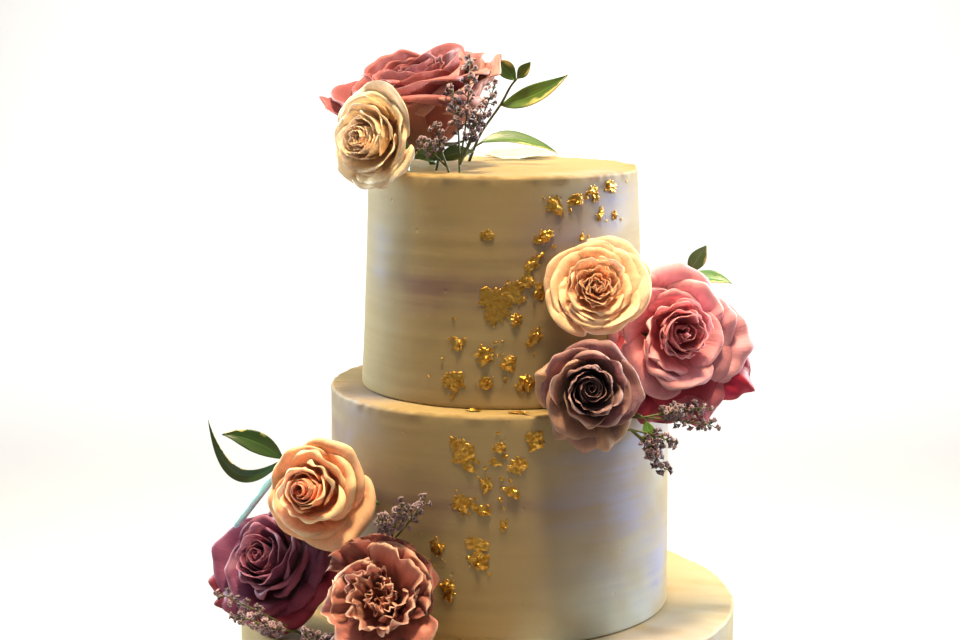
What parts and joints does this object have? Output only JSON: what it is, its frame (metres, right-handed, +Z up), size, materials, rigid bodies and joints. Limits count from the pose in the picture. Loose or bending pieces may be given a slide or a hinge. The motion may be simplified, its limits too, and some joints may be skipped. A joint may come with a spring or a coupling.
{
  "type": "buttercream cake",
  "caption": "Tiered round celebration cake in smooth ivory buttercream with gold leaf, lavender tints and clusters of fresh roses, lisianthus, statice and leaves.",
  "frame": {"origin": "centre of the bottom tier's flat underside", "axes": "+Z up; -Y towards the viewer of the front, where the gold leaf runs; +X to the viewer's right"},
  "size_m": [0.315, 0.304, 0.4634],
  "materials": {
    "buttercream": "smooth ivory buttercream with lavender tints and gold leaf",
    "rose_right_purple": "satin dusty purple petals",
    "rose_right_cream": "satin cream petals with a peach heart",
    "rose_right_mauve": "satin dusty pink petals",
    "rose_left_peach": "satin cream-yellow petals with a peach heart",
    "lisianthus_left": "satin salmon-pink ruffled petals",
    "rose_left_burgundy": "satin wine-red petals",
    "rose_top_cream": "satin cream petals",
    "rose_top_pink": "satin coral-pink petals",
    "leaf_green": "satin leaf",
    "statice": "dry papery flowers",
    "pale_petal": "satin pale petal",
    "pick_plastic": "glossy pale blue"
  },
  "bodies": {
    "root": {"tier_bottom": "buttercream", "tier_middle": "buttercream", "tier_top": "buttercream", "rose_right_purple": "rose_right_purple", "rose_right_cream": "rose_right_cream", "rose_right_mauve": "rose_right_mauve", "rose_left_peach": "rose_left_peach", "lisianthus_left": "lisianthus_left", "rose_left_burgundy": "rose_left_burgundy", "rose_top_cream": "rose_top_cream", "rose_top_pink": "rose_top_pink", "leaves_top_back": "leaf_green", "leaves_top_low": "leaf_green", "leaves_top_base": "leaf_green", "leaves_right_upper": "leaf_green", "leaf_right_lower": "leaf_green", "leaves_left_upper": "leaf_green", "statice_top_tall": "statice", "statice_top_low": "statice", "statice_right_long": "statice", "statice_right_short": "statice", "statice_left_inner": "statice", "statice_left_outer": "statice", "statice_left_low": "statice", "petal_top_back": "pale_petal", "stem_pick": "pick_plastic"}
  },
  "joints": []
}
